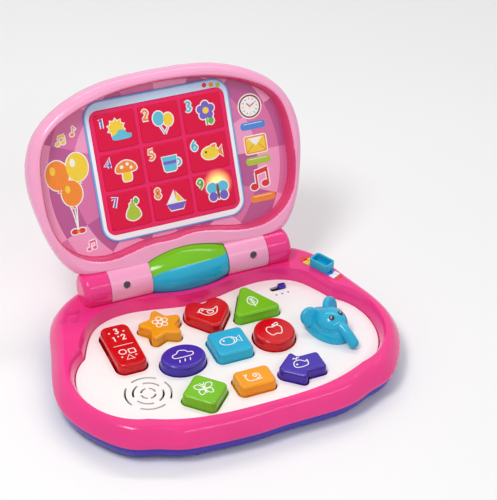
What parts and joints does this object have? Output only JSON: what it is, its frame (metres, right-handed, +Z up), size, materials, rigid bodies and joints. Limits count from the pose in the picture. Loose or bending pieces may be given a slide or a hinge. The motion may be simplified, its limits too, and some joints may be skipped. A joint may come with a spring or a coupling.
{
  "type": "toy laptop computer",
  "caption": "Toy laptop with a hinged dished lid, a lit picture-window screen, shaped push keys, a mode rocker, a sliding elephant mouse and a power switch",
  "frame": {"origin": "On the flat underside of the base, midway along its width, between front and back", "axes": "+Z up, X along the hinge, -Y towards the user"},
  "size_m": [0.3, 0.2811, 0.1965],
  "materials": {
    "lid_pink": "glossy light pink moulded plastic",
    "base_pink": "glossy hot pink moulded plastic",
    "base_purple": "purple moulded plastic",
    "panel_white": "white moulded plastic",
    "key_red": "glossy red plastic",
    "key_orange": "glossy orange-yellow plastic",
    "key_green": "glossy lime green plastic",
    "key_cyan": "glossy light blue plastic",
    "key_purple": "glossy violet plastic",
    "track_print": "printed strip with coloured bands",
    "backdrop_print": "printed sheet with pink rays",
    "bezel_white": "white frame round the picture windows",
    "window_red": "clear red tinted plastic",
    "grid_white": "matt white plastic",
    "steel": "bright steel",
    "silicone": "translucent grey silicone",
    "board_green": "green circuit board",
    "battery_can": "plain painted battery can",
    "speaker_black": "black basket and paper cone",
    "dark_plastic": "dark inner plastic",
    "lamp_clear": "clear lamp lens"
  },
  "bodies": {
    "base": {"base_upper_shell": "base_pink", "base_lower_shell": "base_purple", "keyboard_panel": "panel_white", "hinge_barrel_upper": "key_green", "hinge_barrel_lower": "key_cyan", "hinge_pin_left": "steel", "hinge_pin_right": "steel", "battery_door": "base_purple", "battery_door_screw": "steel", "battery_front": "battery_can", "battery_rear": "battery_can", "battery_contacts": "steel", "main_circuit_board": "board_green", "board_screws": "steel", "speaker": "speaker_black", "shell_screws": "steel", "pad_square": "silicone", "pad_rectangle": "silicone", "pad_triangle": "silicone", "pad_diamond": "silicone", "pad_arrow": "silicone", "pad_star": "silicone", "pad_heart": "silicone", "pad_circle": "silicone", "pad_oval": "silicone", "rocker_pads": "silicone", "power_switch_body": "dark_plastic", "side_track": "track_print"},
    "lid": {"lid_front_frame": "lid_pink", "lid_rear_cover": "lid_pink", "knuckle_screws": "steel", "lid_screws": "steel", "screen_backdrop": "backdrop_print", "screen_bezel": "bezel_white", "screen_window": "window_red", "light_grid": "grid_white", "lamp_board": "board_green", "lamp_board_screws": "steel", "lamps": "lamp_clear"},
    "key_square": {"key_square": "key_cyan"},
    "key_rectangle": {"key_rectangle": "key_orange"},
    "key_triangle": {"key_triangle": "key_green"},
    "key_diamond": {"key_diamond": "key_green"},
    "key_arrow": {"key_arrow": "key_purple"},
    "key_star": {"key_star": "key_orange"},
    "key_heart": {"key_heart": "key_red"},
    "key_circle": {"key_circle": "key_red"},
    "key_oval": {"key_oval": "key_purple"},
    "mode_rocker": {"mode_rocker": "key_red"},
    "mouse": {"mouse_shell": "key_cyan", "mouse_carriage": "dark_plastic"},
    "power_switch": {"power_switch_knob": "key_purple"},
    "side_slider": {"side_slider": "key_cyan"}
  },
  "joints": [
    {"name": "lid_hinge", "type": "hinge", "parent": "base", "child": "lid", "pos_m": [0, 0.085, 0.041], "axis": [1, 0, 0], "range_deg": [0, 116.5]},
    {"name": "square_press", "type": "slide", "parent": "base", "child": "key_square", "axis": [0, 0, -1], "range_m": [0, 0.0025], "stiffness_N_per_m": 700, "springref_m": -0.0006, "deforming": ["pad_square"]},
    {"name": "rectangle_press", "type": "slide", "parent": "base", "child": "key_rectangle", "axis": [0, 0, -1], "range_m": [0, 0.0025], "stiffness_N_per_m": 700, "springref_m": -0.0006, "deforming": ["pad_rectangle"]},
    {"name": "triangle_press", "type": "slide", "parent": "base", "child": "key_triangle", "axis": [0, 0, -1], "range_m": [0, 0.0025], "stiffness_N_per_m": 700, "springref_m": -0.0006, "deforming": ["pad_triangle"]},
    {"name": "diamond_press", "type": "slide", "parent": "base", "child": "key_diamond", "axis": [0, 0, -1], "range_m": [0, 0.0025], "stiffness_N_per_m": 700, "springref_m": -0.0006, "deforming": ["pad_diamond"]},
    {"name": "arrow_press", "type": "slide", "parent": "base", "child": "key_arrow", "axis": [0, 0, -1], "range_m": [0, 0.0025], "stiffness_N_per_m": 700, "springref_m": -0.0006, "deforming": ["pad_arrow"]},
    {"name": "star_press", "type": "slide", "parent": "base", "child": "key_star", "axis": [0, 0, -1], "range_m": [0, 0.0025], "stiffness_N_per_m": 700, "springref_m": -0.0006, "deforming": ["pad_star"]},
    {"name": "heart_press", "type": "slide", "parent": "base", "child": "key_heart", "axis": [0, 0, -1], "range_m": [0, 0.0025], "stiffness_N_per_m": 700, "springref_m": -0.0006, "deforming": ["pad_heart"]},
    {"name": "circle_press", "type": "slide", "parent": "base", "child": "key_circle", "axis": [0, 0, -1], "range_m": [0, 0.0025], "stiffness_N_per_m": 700, "springref_m": -0.0006, "deforming": ["pad_circle"]},
    {"name": "oval_press", "type": "slide", "parent": "base", "child": "key_oval", "axis": [0, 0, -1], "range_m": [0, 0.0025], "stiffness_N_per_m": 700, "springref_m": -0.0006, "deforming": ["pad_oval"]},
    {"name": "rocker_tip", "type": "hinge", "parent": "base", "child": "mode_rocker", "pos_m": [-0.08, 0.0219, 0.0147], "axis": [1, 0, 0], "range_deg": [-4, 4], "stiffness_Nm_per_rad": 0.3},
    {"name": "mouse_slide", "type": "slide", "parent": "base", "child": "mouse", "axis": [0, 1, 0], "range_m": [-0.007, 0.007]},
    {"name": "power_switch_slide", "type": "slide", "parent": "base", "child": "power_switch", "axis": [-1, 0, 0], "range_m": [0, 0.007]},
    {"name": "side_slider_slide", "type": "slide", "parent": "base", "child": "side_slider", "axis": [0.454, -0.891, 0], "range_m": [-0.011, 0.011]}
  ]
}
